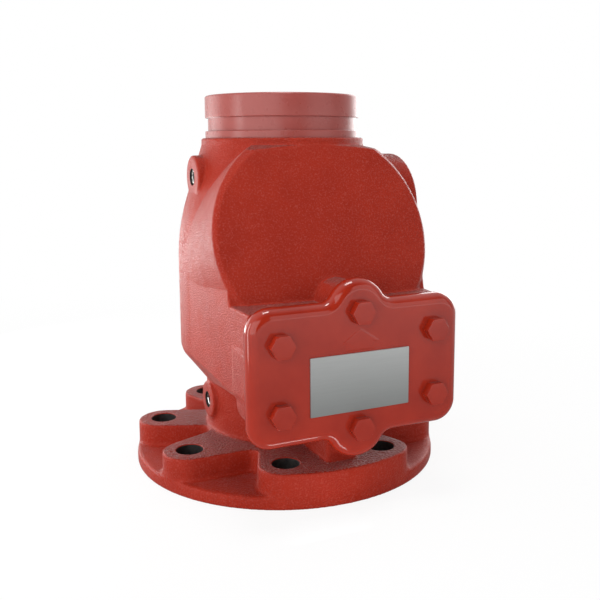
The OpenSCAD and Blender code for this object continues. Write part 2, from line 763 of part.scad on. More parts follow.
// Plug with a hexagon socket, its face at distance x from the axis
module pipe_plug(x, z) color([0.7, 0.7, 0.68])
    translate([-x, 0, z]) rotate([0, 90, 0]) difference() {
        cylinder(h = plug_l, d = plug_d);
        translate([0, 0, -eps]) cylinder(h = 5 + eps, r = plug_af / sqrt(3), $fn = 6);
    }

body();
seat_ring();
seat_seal();
handhole_cover();
cover_gasket();
nameplate();
cover_bolt(0);  // cover_bolt_1
cover_bolt(1);  // cover_bolt_2
cover_bolt(2);  // cover_bolt_3
cover_bolt(3);  // cover_bolt_4
cover_bolt(4);  // cover_bolt_5
cover_bolt(5);  // cover_bolt_6
hinge_pin();
hinge_clip(-1);  // hinge_clip_left
hinge_clip(1);  // hinge_clip_right
hinge_bush(-1);  // hinge_bush_left
hinge_bush(1);  // hinge_bush_right
clapper_arm();
clapper_disc();
clapper_facing();
facing_retainer();
clapper_bolt();
clapper_washer();
clapper_nut();
pipe_plug(upper_boss_x - plug_recess, upper_boss_z);  // pipe_plug_upper
pipe_plug(lower_boss_x - plug_recess, lower_boss_z);  // pipe_plug_lower
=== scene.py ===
"""Looks of a flanged swing non-return valve: a red sand casting with a grooved outlet, a glossy
handhole cover with six hexagon bolts and a blank plate, two gauge plugs, and the bronze seat and
clapper inside. Shapes are drawn in millimetres. Materials, lights, floor spans and the camera are
in metres, as Blender is."""

import json
import math
from collections import namedtuple

import bmesh
import bpy
import numpy as np
from mathutils import Matrix, Vector

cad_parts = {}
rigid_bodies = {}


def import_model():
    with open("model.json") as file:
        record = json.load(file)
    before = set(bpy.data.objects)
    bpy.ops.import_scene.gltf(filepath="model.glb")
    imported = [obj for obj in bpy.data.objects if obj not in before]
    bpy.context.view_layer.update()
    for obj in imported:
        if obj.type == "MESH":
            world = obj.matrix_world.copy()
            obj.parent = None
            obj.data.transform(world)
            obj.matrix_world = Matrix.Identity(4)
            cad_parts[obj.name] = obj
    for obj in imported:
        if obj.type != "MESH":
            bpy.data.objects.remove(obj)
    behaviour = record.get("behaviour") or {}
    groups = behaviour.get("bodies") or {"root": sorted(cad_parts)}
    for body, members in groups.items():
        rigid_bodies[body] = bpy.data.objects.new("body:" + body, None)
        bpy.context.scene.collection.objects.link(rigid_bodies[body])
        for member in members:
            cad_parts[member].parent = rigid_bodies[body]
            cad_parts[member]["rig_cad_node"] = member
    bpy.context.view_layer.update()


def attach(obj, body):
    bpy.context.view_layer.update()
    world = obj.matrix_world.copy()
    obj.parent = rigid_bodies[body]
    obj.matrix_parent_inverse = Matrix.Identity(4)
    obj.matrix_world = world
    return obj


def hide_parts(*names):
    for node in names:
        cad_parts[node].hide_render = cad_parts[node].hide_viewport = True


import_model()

MM = 0.001
TAU = 2 * math.pi

# How far a cutter runs past the face that it opens
CUT_OVER = 3.0

# Flange and its bolt holes, as in the solids
HOLE_COUNT = 8
HOLE_CIRCLE_R = 95.25
HOLE_R = 9.525
HOLE_FILLER_R = HOLE_R + 0.6
FLANGE_PAD_TOP = 25.0
HOLE_EDGE_BROKEN = 0.45

# Grooved outlet end
SHOULDER_TOP = 241.0
TOTAL_H = 271.7
OUTLET_R = 57.15
OUTLET_BORE_R = 51.1
GROOVE_TOP = TOTAL_H - 15.88
GROOVE_LOW = GROOVE_TOP - 9.53
GROOVE_R = 55.04

# Drain boss on the right, and the two gauge ports on the left: where the boss ends, the height of
# the port, where its hole meets the cavity, and how deep it is drilled
DRAIN_FACE = 95.7
Port = namedtuple("Port", "face height inner depth")
UPPER_PORT = Port(70.5, 213.6, 50.0, 22.0)
LOWER_PORT = Port(63.0, 47.0, 52.0, 11.0)
PORT_R = 6.0
PORT_DRILL_R = PORT_R + 0.1
PORT_FILLER_R = PORT_R + 0.3
PLUG_SINK = 1.2

# Throat behind the handhole pad
PAD_FACE = 115.0
THROAT_BACK = 96.0
THROAT_TOP = 135.0
THROAT_ROOF = 128.5
THROAT_HALF_W = 72.1
THROAT_HALF_W_FRONT = 71.2
THROAT_WALL_INNER = 56.0
THROAT_SIDE_LOW = 76.3
THROAT_SIDE_LOW_FRONT = 74.5

# Handhole cover, its bolts, plate and arrow
COVER_BACK = PAD_FACE + 1.6
COVER_T = 9.0
COVER_FACE = COVER_BACK + COVER_T
COVER_Z = 94.6
COVER_HALF_W = 75.0
COVER_HALF_H = 44.5
COVER_CORNER_R = 15.5
COVER_EDGE_R = 7.0
LOBE_R = 21.0
LOBE_FILLET_R = 9.0
LOBE_Z = 37.8
BOLT_X = 54.8
BOLT_Z = 21.8
COVER_BOLTS = [(-BOLT_X, BOLT_Z), (0.0, LOBE_Z), (BOLT_X, BOLT_Z),
               (BOLT_X, -BOLT_Z), (0.0, -LOBE_Z), (-BOLT_X, -BOLT_Z)]
BOLT_FILLER_R = 5.2
BOLT_FILLER_L = 22.0
BOLT_HEAD_APOTHEM = 7.15
BOLT_HEAD_H = 5.95
BOLT_SHANK_R = 4.7
BOLT_SHANK_L = 24.0
PLATE_W = 70.6
PLATE_H = 38.0
PLATE_T = 0.8
PLATE_Z = 87.4
ARROW_SHAFT_HALF_W = 10.5
ARROW_HEAD_HALF_W = 14.0
ARROW_SHAFT_H = 5.5
ARROW_HEAD_H = 9.5

# Lugs behind the cover that hold the hinge pin
HINGE_Y = 80.0
HINGE_Z = 92.0
LUG_R = 10.0
LUG_HOLE_R = 4.8
LUG_FOOT_HALF_H = 14.0
LUG_INNER = 30.0
LUG_OUTER = 38.0

# Remeshing and rounding of the casting, and the angle in degrees over which an edge is crisp
CAST_CELL = 0.85
CAST_PASSES = 4
CAST_FURTHER_PASSES = 9
CAST_SHARP = 38
MOST_TRIANGLES = 190000

# Paints
RED = (0.335, 0.021, 0.0075)
RED_DEEP = (0.28, 0.015, 0.005)
RED_PALE = (0.47, 0.100, 0.080)
# The outlet's two reds are the paint's red with a whitish painted reflection mixed in, which makes them paler
# than the body's red.
OUTLET_RED_AND_PAINTED_REFLECTION = (0.315, 0.064, 0.054)
OUTLET_DEEP_RED_AND_PAINTED_REFLECTION = (0.305, 0.061, 0.051)

# The photograph's camera: width, focal length and middle in pixels, its place, and its angles
PICTURE_PX = 600
FOCAL_PX = 792.51
MIDDLE_PX = (317.73, 261.6)
SENSOR_MM = 36
CAMERA_PLACE = (-0.230447, -0.556273, 0.23735)
CAMERA_TURN = -24.99
CAMERA_LEAN = 8.50
CAMERA_ROLL = -0.22

# Share of white on the floor close to the valve, strength of the even light, how bright the studio looks to a
# gloss on the camera's side, and how bright the near floor looks to a gloss, which is a painted shade of the
# valve on the floor seen only in reflections
FLOOR_WHITE = 0.88
SOFT_LIGHT = 0.36
FRONT_GLOSS = 0.05
NEAR_FLOOR_SHADE_TO_GLOSS = 0.30

# Each soft box: name, place, what it faces, width, height and power
SOFT_BOXES = [
    ("back_left_box", (-0.80, 1.0, 0.25), (0, 0, 0.16), 0.8, 0.9, 4),
    ("near_left_box", (-0.31, 0.45, 0.11), (-0.075, -0.03, 0.16), 0.36, 0.14, 1.25),
    ("back_right_box", (1.0, 0.6, 0.35), (0, 0, 0.14), 0.8, 0.9, 8),
    ("front_left_box", (-1.1, -0.9, 0.55), (0, 0, 0.13), 1.5, 1.3, 12.5),
    ("front_right_box", (0.75, -1.1, 0.45), (0, 0, 0.13), 1.0, 1.0, 3.5),
    ("left_strip", (-0.45, -0.03, 0.18), (0, -0.03, 0.18), 0.08, 0.36, 0.55),
    ("low_strip", (-0.03, -0.155, 0.004), (-0.03, -0.12, 0.05), 0.05, 0.01, 0.01),
    ("top_box", (-0.02, -0.125, 1.0), (-0.02, -0.12, 0.1), 0.3, 0.2, 2.8),
]


# Surfaces and meshes

def skin(rings, close_rows=False, cap_first=False, cap_last=False):
    """Points and faces of a surface over a grid: rings is rows x columns x 3, each row a closed
    ring. Rows join in turn, and back to the first when close_rows. A cap is a fan from the mean
    of its ring."""
    rings = np.asarray(rings, float)
    rows, columns = rings.shape[:2]
    points = rings.reshape(-1, 3)
    joined = rows if close_rows else rows - 1
    row, column = np.meshgrid(np.arange(joined), np.arange(columns), indexing="ij")
    beside = (column + 1) % columns
    above = (row + 1) % rows
    corners = (row * columns + column, row * columns + beside,
               above * columns + beside, above * columns + column)
    faces = np.stack([corner.ravel() for corner in corners], axis=1).tolist()
    ring = np.arange(columns)
    following = (ring + 1) % columns
    if cap_first:
        hub = np.full(columns, len(points))
        points = np.vstack([points, rings[0].mean(axis=0)])
        faces += np.stack([hub, following, ring], axis=1).tolist()
    if cap_last:
        hub = np.full(columns, len(points))
        base = (rows - 1) * columns
        points = np.vstack([points, rings[-1].mean(axis=0)])
        faces += np.stack([hub, base + ring, base + following], axis=1).tolist()
    return points, faces


def lifted(flat, height):
    """Flat points given a third coordinate, which is one height for all or one for each."""
    flat = np.asarray(flat, float)
    return np.column_stack([flat, np.broadcast_to(height, len(flat))])


def circle(radius, columns):
    """Points of a circle about the origin."""
    angle = np.linspace(0, TAU, columns, endpoint=False)
    return np.stack([radius * np.cos(angle), radius * np.sin(angle)], axis=1)


def to_front(points, start):
    """Points drawn (across, up, out) put at the front: across is x, up is z, and out runs forward
    from the start, a distance before the axis."""
    points = np.asarray(points, float)
    return np.stack([points[..., 0], -start - points[..., 2], points[..., 1]], axis=-1)


def rounded_profile(corners, radius, steps=4):
    """Corners of a closed profile, each replaced by a quadratic curve that starts and ends at
    most a radius away from it along its two sides."""
    corners = np.asarray(corners, float)
    before = np.roll(corners, 1, axis=0) - corners
    after = np.roll(corners, -1, axis=0) - corners
    length_before = np.linalg.norm(before, axis=1)
    length_after = np.linalg.norm(after, axis=1)
    start = corners + before * (np.minimum(radius, 0.45 * length_before) / length_before)[:, None]
    end = corners + after * (np.minimum(radius, 0.45 * length_after) / length_after)[:, None]
    t = np.linspace(0, 1, steps + 1)[None, :, None]
    curve = (1 - t) ** 2 * start[:, None] + 2 * t * (1 - t) * corners[:, None] + t ** 2 * end[:, None]
    return curve.reshape(-1, 2)


def turned(profile, columns):
    """Rings of a (radius, height) profile carried round the Z axis: each profile point at radius
    r goes to (r cos a, r sin a, z)."""
    return np.stack([lifted(circle(radius, columns), height) for radius, height in profile])


def cylinder_shell(start, end, radius, columns=64):
    """Points and faces of a closed cylinder between two points."""
    start, end = np.asarray(start, float), np.asarray(end, float)
    axis = (end - start) / np.linalg.norm(end - start)
    side = np.cross(axis, [0.3, 0.5, 0.81])
    side /= np.linalg.norm(side)
    ring = circle(radius, columns) @ np.stack([side, np.cross(axis, side)])
    return skin(np.stack([start + ring, end + ring]), cap_first=True, cap_last=True)


def prism_shell(plan, low, high):
    """Points and faces of a closed upright prism over a plan of (x, y) corners; low and high may
    be one height or a height for each corner."""
    return skin(np.stack([lifted(plan, low), lifted(plan, high)]), cap_first=True, cap_last=True)


def linked(name, data):
    """A new object of the scene from a mesh, a camera or a light, at the origin."""
    made = bpy.data.objects.new(name, data)
    bpy.context.scene.collection.objects.link(made)
    return made


def outwards(obj):
    """Recalculates the normals so that they point out of the closed shape."""
    work = bmesh.new()
    work.from_mesh(obj.data)
    bmesh.ops.remove_doubles(work, verts=work.verts, dist=1e-7)
    bmesh.ops.recalc_face_normals(work, faces=work.faces)
    work.to_mesh(obj.data)
    work.free()
    return obj


def new_piece(name, points, faces, sharp):
    """A closed piece of the standing body from points in millimetres, with its edges crisp over
    the angle sharp, in degrees."""
    mesh = bpy.data.meshes.new(name)
    mesh.from_pydata((points * MM).tolist(), [], faces)
    mesh.validate()
    made = linked(name, mesh)
    mesh.shade_smooth()
    mesh.set_sharp_from_angle(angle=math.radians(sharp))
    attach(made, "valve_body")
    return outwards(made)


def apply_modifiers(obj):
    """Puts the mesh with its modifiers applied in place of the old one."""
    graph = bpy.context.evaluated_depsgraph_get()
    done = bpy.data.meshes.new_from_object(obj.evaluated_get(graph), depsgraph=graph)
    old = obj.data
    obj.modifiers.clear()
    obj.data = done
    bpy.data.meshes.remove(old)


def cad(node):
    """The frame's own object of a CAD node."""
    for candidate in bpy.context.scene.objects:
        if candidate.get("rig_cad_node") == node:
            return candidate
    raise KeyError(node)


def join_shells(mesh, shells):
    """Adds closed shells, each given as points and faces, to a mesh."""
    work = bmesh.new()
    work.from_mesh(mesh)
    bmesh.ops.remove_doubles(work, verts=work.verts, dist=2e-6)
    for points, faces in shells:
        shell = bpy.data.meshes.new("shell")
        shell.from_pydata((points * MM).tolist(), [], faces)
        work.from_mesh(shell)
        bpy.data.meshes.remove(shell)
    work.to_mesh(mesh)
    work.free()


def read_vectors(items, key):
    """One vector of each vertex or polygon of a mesh, as an array."""
    values = np.empty(len(items) * 3)
    items.foreach_get(key, values)
    return values.reshape(-1, 3)


def round_off(mesh, passes, further, where):
    """Moves every point half of the way to the mean of its neighbours, pass after pass. In the
    further passes the move is multiplied by the share that where(points) gives."""
    count = len(mesh.vertices)
    place = read_vectors(mesh.vertices, "co") / MM
    edges = np.empty(len(mesh.edges) * 2, np.int64)
    mesh.edges.foreach_get("vertices", edges)
    edges = edges.reshape(-1, 2)
    ends = np.concatenate([edges[:, 0], edges[:, 1]])
    others = np.concatenate([edges[:, 1], edges[:, 0]])
    degree = np.bincount(ends, minlength=count)
    for turn in range(passes + further):
        total = [np.bincount(ends, weights=place[others, k], minlength=count) for k in range(3)]
        mean = np.stack(total, axis=1) / degree[:, None]
        share = 0.5 if turn < passes else 0.5 * where(place)[:, None]
        place = place + share * (mean - place)
    mesh.vertices.foreach_set("co", (place * MM).ravel())
    mesh.update()


def cast_copy(node, name, fillers, where):
    """A copy of a CAD node as a foundry would make it: fillers close its drilled holes and fill
    it out, the whole is remeshed on a grid of small cells, and rounding off softens each edge and
    fills each corner, and more of both where the share is above 0."""
    made = linked(name, cad(node).data.copy())
    join_shells(made.data, fillers)
    made.data.materials.clear()
    grid = made.modifiers.new("grid", "REMESH")
    grid.mode = "VOXEL"
    grid.voxel_size = CAST_CELL * MM
    apply_modifiers(made)
    round_off(made.data, CAST_PASSES, CAST_FURTHER_PASSES, where)
    triangles = sum(len(polygon.vertices) - 2 for polygon in made.data.polygons)
    if triangles > MOST_TRIANGLES:
        fewer = made.modifiers.new("fewer", "DECIMATE")
        fewer.ratio = MOST_TRIANGLES / triangles
        apply_modifiers(made)
    return made


def drilled(obj, cutters):
    """Takes closed shells out of a closed mesh."""
    tool = linked("cutters", bpy.data.meshes.new("cutters"))
    join_shells(tool.data, cutters)
    outwards(tool)
    cut = obj.modifiers.new("cut", "BOOLEAN")
    cut.operation = "DIFFERENCE"
    cut.solver = "MANIFOLD"
    cut.object = tool
    apply_modifiers(obj)
    bpy.data.objects.remove(tool, do_unlink=True)


# Materials

def map_span(tree, value, low, high, to_low, to_high, kind="LINEAR"):
    """Maps a value from one span to another, held at both ends."""
    made = tree.nodes.new("ShaderNodeMapRange")
    made.interpolation_type = kind
    for key, number in zip(("From Min", "From Max", "To Min", "To Max"), (low, high, to_low, to_high)):
        made.inputs[key].default_value = number
    tree.links.new(value, made.inputs["Value"])
    return made.outputs["Result"]


class Finish:
    """A node material that is built up step by step round one Principled shader."""

    def __init__(self, name, colour, roughness, metallic=0.0, **sockets):
        self.material = bpy.data.materials.new(name)
        self.material.use_nodes = True
        self.tree = self.material.node_tree
        self.shader = self.tree.nodes["Principled BSDF"]
        self.shader.inputs["Base Color"].default_value = (*colour, 1)
        self.shader.inputs["Roughness"].default_value = roughness
        self.shader.inputs["Metallic"].default_value = metallic
        for socket, value in sockets.items():
            self.shader.inputs[socket.replace("_", " ")].default_value = value
        self.where = self.node("ShaderNodeTexCoord").outputs["Object"]
        self.normal = None

    def node(self, kind, **settings):
        """A new node with its settings."""
        made = self.tree.nodes.new(kind)
        for key, value in settings.items():
            setattr(made, key, value)
        return made

    def join(self, source, target):
        """Links an output to an input."""
        self.tree.links.new(source, target)

    def noise(self, per_metre, detail=2.0, rough=0.5, stretch=None):
        """Noise over Object coordinates, so many waves to a metre."""
        made = self.node("ShaderNodeTexNoise")
        made.inputs["Scale"].default_value = per_metre
        made.inputs["Detail"].default_value = detail
        made.inputs["Roughness"].default_value = rough
        where = self.where
        if stretch is not None:
            scaled = self.node("ShaderNodeMapping")
            scaled.inputs["Scale"].default_value = stretch
            self.join(where, scaled.inputs["Vector"])
            where = scaled.outputs[0]
        self.join(where, made.inputs["Vector"])
        return made.outputs["Fac"]

    def span(self, value, low, high, to_low, to_high):
        """Maps a value from one span to another, held at both ends."""
        return map_span(self.tree, value, low, high, to_low, to_high)

    def maths(self, kind, first, second=0.0):
        """A sum on two values, each a number or an output."""
        made = self.node("ShaderNodeMath", operation=kind)
        for target, value in zip(made.inputs, (first, second)):
            if isinstance(value, (int, float)):
                target.default_value = value
            else:
                self.join(value, target)
        return made.outputs[0]

    def blend(self, value, first, second):
        """The first colour where the value is 0 and the second where it is 1."""
        made = self.node("ShaderNodeMix", data_type="RGBA")
        self.join(value, made.inputs["Factor"])
        for key, colour in ((6, first), (7, second)):
            if isinstance(colour, tuple):
                made.inputs[key].default_value = (*colour, 1)
            else:
                self.join(colour, made.inputs[key])
        return made.outputs[2]

    def clouds(self, per_metre, detail, rough, dark, light):
        """Colour in soft clouds between a dark tone and a light one."""
        return self.blend(self.span(self.noise(per_metre, detail, rough), 0.3, 0.7, 0, 1), dark, light)

    def bump(self, height, strength, distance):
        """Adds relief from a height to the relief so far."""
        made = self.node("ShaderNodeBump")
        made.inputs["Strength"].default_value = strength
        made.inputs["Distance"].default_value = distance
        self.join(height, made.inputs["Height"])
        if self.normal is not None:
            self.join(self.normal, made.inputs["Normal"])
        self.normal = made.outputs["Normal"]
        self.join(self.normal, self.shader.inputs["Normal"])

    def ripples(self, value, strength, distance):
        """Relief in fine parallel rings, one for each turn of the value."""
        wave = self.maths("SINE", value)
        self.bump(self.span(wave, -1, 1, 0, 1), strength, distance)

    def colour(self, source):
        """Sets the colour."""
        self.join(source, self.shader.inputs["Base Color"])

    def roughness(self, source):
        """Sets the roughness."""
        self.join(source, self.shader.inputs["Roughness"])

    def parts(self, source):
        """The x, y and z of a vector."""
        made = self.node("ShaderNodeSeparateXYZ")
        self.join(source, made.inputs[0])
        return made.outputs

    def radial(self):
        """Distance from the Z axis, in metres."""
        squares = [self.maths("MULTIPLY", part, part) for part in self.parts(self.where)[:2]]
        return self.maths("SQRT", self.maths("ADD", *squares))

    def height(self):
        """Height above the floor, in metres."""
        return self.parts(self.where)[2]

    def upwards(self):
        """1 on a face that looks up, 0 on a wall."""
        return self.parts(self.node("ShaderNodeNewGeometry").outputs["Normal"])[2]


def sand_cast_paint():
    """Red paint over a sand casting: grains about a millimetre across under the paint, wider
    waves of the mould, uneven colour and gloss, and coarser grains on the faces that look up."""
    cast = Finish("sand_cast_paint", RED, 0.42,
                  Specular_IOR_Level=0.12, Sheen_Weight=0.2, Sheen_Roughness=0.2)
    grains = cast.noise(950, 2.0, 0.6)
    worn = cast.span(grains, 0.50, 0.72, 0, 0.36)
    cast.colour(cast.blend(worn, cast.clouds(26, 3.0, 0.6, RED_DEEP, RED), RED_PALE))
    cast.roughness(cast.span(cast.noise(140, 3.0), 0.3, 0.7, 0.36, 0.48))
    cast.bump(cast.noise(9, 2.0), 0.25, 0.004)
    cast.bump(grains, 0.8, 0.0009)
    facing_up = cast.span(cast.upwards(), 0.80, 0.97, 0, 1)
    above_rim = cast.span(cast.height(), 0.021, 0.024, 0, 1)
    coarse = cast.maths("SUBTRACT", cast.noise(700, 2.0, 0.6), 0.5)
    cast.bump(cast.maths("MULTIPLY", coarse, cast.maths("MULTIPLY", facing_up, above_rim)), 1.0, 0.004)
    return cast.material


def smooth_paint(name, low, high, shine, ripple=0.06, dark=RED_DEEP, light=RED):
    """Red paint on a machined or fine surface: nearly even, with faint ripple of the coat."""
    paint = Finish(name, light, (low + high) / 2, Specular_IOR_Level=shine)
    paint.colour(paint.clouds(40, 3.0, 0.6, dark, light))
    paint.roughness(paint.span(paint.noise(160, 2.0), 0.3, 0.7, low, high))
    paint.bump(paint.noise(120, 2.0), ripple, 0.0006)
    paint.bump(paint.noise(1400, 1.0), ripple / 2, 0.0002)
    return paint.material


def drilled_iron_painted_shade():
    """Wall of a drilled hole: bare iron with fine rings of the drill along it, painted near black, the shade
    deep in the hole painted into its colour.
    """
    iron = Finish("drilled_iron_painted_shade", (0.022, 0.021, 0.021), 0.6, 0.4)
    iron.colour(iron.clouds(300, 3.0, 0.5, (0.012, 0.011, 0.011), (0.04, 0.035, 0.032)))
    iron.ripples(iron.maths("MULTIPLY", iron.height(), 9000.0), 0.3, 0.0002)
    iron.roughness(iron.span(iron.noise(500), 0.3, 0.7, 0.5, 0.72))
    return iron.material


def faced_iron():
    """Iron faced on a lathe: bare grey metal with fine rings round the Z axis."""
    iron = Finish("faced_iron", (0.30, 0.29, 0.28), 0.38, 0.9)
    iron.colour(iron.clouds(60, 4.0, 0.5, (0.24, 0.23, 0.22), (0.36, 0.35, 0.335)))
    iron.ripples(iron.maths("MULTIPLY", iron.radial(), TAU / 0.0008), 0.35, 0.00025)
    iron.roughness(iron.span(iron.noise(420, 2.0), 0.3, 0.7, 0.32, 0.46))
    return iron.material


def plain_metal(name, dark, light, low, high, grain, depth, metallic=1.0):
    """Metal with cloudy tone, fine scratches and uneven gloss."""
    metal = Finish(name, light, (low + high) / 2, metallic)
    metal.colour(metal.clouds(90, 4.0, 0.6, dark, light))
    metal.roughness(metal.span(metal.noise(600, 3.0), 0.3, 0.7, low, high))
    metal.bump(metal.noise(grain, 2.0, 0.6), 0.3, depth)
    return metal.material


def brushed_plate():
    """Grey anodised plate, brushed across, painted paler from its lower edge to its upper: a painted
    reflection.
    """
    plate = Finish("brushed_plate", (0.33, 0.34, 0.335), 0.42, 0.75)
    lines = plate.noise(900, 3.0, 0.6, stretch=(0.03, 1.0, 1.6))
    # Painted reflection: the plate's grey is blended paler with height, as brighter light from above would
    # show on it.
    rise = plate.span(plate.height(), 0.066, 0.108, 0, 1)
    even = plate.blend(rise, (0.29, 0.30, 0.295), (0.50, 0.51, 0.505))
    plate.colour(plate.blend(plate.span(lines, 0.25, 0.75, 0, 0.16), even, (0.27, 0.28, 0.275)))
    plate.roughness(plate.span(lines, 0.25, 0.75, 0.36, 0.44))
    plate.bump(lines, 0.05, 0.0001)
    return plate.material


def moulded_rubber():
    """Black rubber with a dull bloom."""
    rubber = Finish("moulded_rubber", (0.018, 0.018, 0.018), 0.62)
    bloom = rubber.span(rubber.noise(70, 4.0), 0.3, 0.75, 0, 1)
    rubber.colour(rubber.blend(bloom, (0.012, 0.012, 0.012), (0.035, 0.034, 0.033)))
    rubber.roughness(rubber.span(rubber.noise(350, 3.0), 0.3, 0.7, 0.52, 0.72))
    rubber.bump(rubber.noise(1500, 2.0), 0.25, 0.0002)
    return rubber.material


def pressed_fibre():
    """Dark pressed gasket fibre."""
    fibre = Finish("pressed_fibre", (0.05, 0.048, 0.044), 0.85)
    specks = fibre.span(fibre.noise(1400, 3.0), 0.35, 0.65, 0, 1)
    fibre.colour(fibre.blend(specks, (0.03, 0.029, 0.027), (0.085, 0.08, 0.072)))
    fibre.roughness(fibre.span(fibre.noise(600), 0.3, 0.7, 0.75, 0.92))
    fibre.bump(fibre.noise(1800, 3.0), 0.4, 0.0002)
    return fibre.material


CAST = sand_cast_paint()
# The outlet's paint takes the two reds that carry a painted reflection.
OUTLET_PAINT = smooth_paint("outlet_paint", 0.26, 0.32, 0.4, 0.02, OUTLET_DEEP_RED_AND_PAINTED_REFLECTION, OUTLET_RED_AND_PAINTED_REFLECTION)
COVER_PAINT = smooth_paint("cover_gloss", 0.09, 0.13, 0.5)
BOLT_PAINT = smooth_paint("bolt_gloss", 0.14, 0.20, 0.5)
HOLE_IRON_SHADE = drilled_iron_painted_shade()
FACED = faced_iron()
BRONZE = plain_metal("seat_bronze", (0.44, 0.26, 0.10), (0.62, 0.40, 0.17), 0.24, 0.40, 900, 0.0002)
STEEL = plain_metal("turned_steel", (0.42, 0.42, 0.41), (0.60, 0.60, 0.59), 0.20, 0.34, 1200, 0.0001)
SPRING = plain_metal("spring_steel", (0.10, 0.10, 0.11), (0.17, 0.17, 0.18), 0.32, 0.46, 900, 0.0001)
PLUG = plain_metal("plug_steel", (0.40, 0.40, 0.39), (0.62, 0.61, 0.59), 0.18, 0.32, 1100, 0.0001)
ARM = plain_metal("arm_iron", (0.12, 0.115, 0.11), (0.22, 0.215, 0.205), 0.45, 0.62, 420, 0.0006, 0.8)
RUBBER = moulded_rubber()
FIBRE = pressed_fibre()
PLATE = brushed_plate()

KEPT_NODES = {
    "seat_ring": BRONZE, "seat_seal": RUBBER, "cover_gasket": FIBRE, "hinge_pin": STEEL,
    "hinge_clip_left": SPRING, "hinge_clip_right": SPRING, "hinge_bush_left": BRONZE,
    "hinge_bush_right": BRONZE, "clapper_arm": ARM, "clapper_disc": BRONZE,
    "clapper_facing": RUBBER, "facing_retainer": BRONZE, "clapper_bolt": STEEL,
    "clapper_washer": STEEL, "clapper_nut": STEEL,
}


def finish(obj, material):
    """Gives a piece its one material and its colour slot."""
    obj.data.materials.clear()
    obj.data.materials.append(material)
    return obj


# The casting

def hole_places():
    """Middles of the flange's bolt holes, which straddle the axes."""
    angle = TAU / HOLE_COUNT * (0.5 + np.arange(HOLE_COUNT))
    return HOLE_CIRCLE_R * np.stack([np.cos(angle), np.sin(angle)], axis=1)


def flange_share(points):
    """1 over the flange's pads and webs, and 0 above them and at the rim's lower edge."""
    z = points[:, 2]
    web_top, fade_out, rim_low, fade_in = 44, 8, 1.5, 3
    return np.clip((web_top - z) / fade_out, 0, 1) * np.clip((z - rim_low) / fade_in, 0, 1)


def casting_fillers():
    """Shells that fill the holes drilled in the solid and run the throat's sides and top on to
    the pad's face."""
    shells = [cylinder_shell((x, y, 0.0), (x, y, FLANGE_PAD_TOP), HOLE_FILLER_R) for x, y in hole_places()]
    for x, rise in COVER_BOLTS:
        z = COVER_Z + rise
        shells.append(cylinder_shell((x, BOLT_FILLER_L - PAD_FACE, z), (x, -PAD_FACE, z), BOLT_FILLER_R))
    for port in (UPPER_PORT, LOWER_PORT):
        z = port.height
        shells.append(cylinder_shell((-port.inner, 0, z), (-port.face, 0, z), PORT_FILLER_R))
    for side in (-1, 1):
        wall = [(side * THROAT_WALL_INNER, -THROAT_BACK), (side * THROAT_HALF_W, -THROAT_BACK),
                (side * THROAT_HALF_W_FRONT, -PAD_FACE), (side * THROAT_WALL_INNER, -PAD_FACE)]
        low = (THROAT_SIDE_LOW, THROAT_SIDE_LOW, THROAT_SIDE_LOW_FRONT, THROAT_SIDE_LOW_FRONT)
        shells.append(prism_shell(wall, low, THROAT_TOP))
    roof = [(-THROAT_HALF_W, -THROAT_BACK), (THROAT_HALF_W, -THROAT_BACK),
            (THROAT_HALF_W_FRONT, -PAD_FACE), (-THROAT_HALF_W_FRONT, -PAD_FACE)]
    shells.append(prism_shell(roof, THROAT_ROOF, THROAT_TOP))
    return shells


def flange_hole(x, y):
    """A cutter for a flange bolt hole: a cylinder that opens into a cone at the top of the pad."""
    top = FLANGE_PAD_TOP - HOLE_EDGE_BROKEN
    rings = turned([(HOLE_R, -CUT_OVER), (HOLE_R, top), (HOLE_R + CUT_OVER, top + CUT_OVER)], 64)
    return skin(rings + [x, y, 0], cap_first=True, cap_last=True)


def casting_cutters():
    """Shells of what is cut away: the bolt holes, the gauge ports and, for the grooved end, a ring
    over the shoulder."""
    cutters = [flange_hole(x, y) for x, y in hole_places()]
    for port in (UPPER_PORT, LOWER_PORT):
        z = port.height
        start, end = (port.depth - port.face, 0, z), (-port.face - CUT_OVER, 0, z)
        cutters.append(cylinder_shell(start, end, PORT_DRILL_R, 40))
    low, high = SHOULDER_TOP + 0.3, TOTAL_H + CUT_OVER
    inner, outer = OUTLET_BORE_R - 4, OUTLET_R + CUT_OVER
    ring = turned([(inner, low), (outer, low), (outer, high), (inner, high)], 128)
    cutters.append(skin(ring, close_rows=True))
    return cutters


def casting_surfaces(mesh):
    """Paint all over, bare iron painted near black with the holes' shade in the drilled holes, and bare iron
    on the inlet's face and the end of the drain boss."""
    mesh.materials.clear()
    for material in (CAST, HOLE_IRON_SHADE, FACED):
        mesh.materials.append(material)
    middle = read_vectors(mesh.polygons, "center") / MM
    normal = read_vectors(mesh.polygons, "normal")
    paint, hole, bare = 0, 1, 2
    index = np.full(len(middle), paint, np.int32)
    from_hole = np.min([np.hypot(middle[:, 0] - x, middle[:, 1] - y) for x, y in hole_places()], axis=0)
    # The walls of the bolt holes and gauge ports take the iron whose near-black colour is painted shade.
    index[(from_hole < HOLE_R + 0.02) & (middle[:, 2] < FLANGE_PAD_TOP - 0.4)] = hole
    for port in (UPPER_PORT, LOWER_PORT):
        from_port = np.hypot(middle[:, 1], middle[:, 2] - port.height)
        on_wall = (middle[:, 0] < port.depth - port.face) & (np.abs(normal[:, 0]) < 0.5)
        index[(from_port < PORT_DRILL_R + 0.2) & on_wall] = hole
    index[(middle[:, 2] < 0.3) & (normal[:, 2] < -0.9)] = bare
    index[(middle[:, 0] > DRAIN_FACE - 0.2) & (normal[:, 0] > 0.95)] = bare
    mesh.polygons.foreach_set("material_index", index)


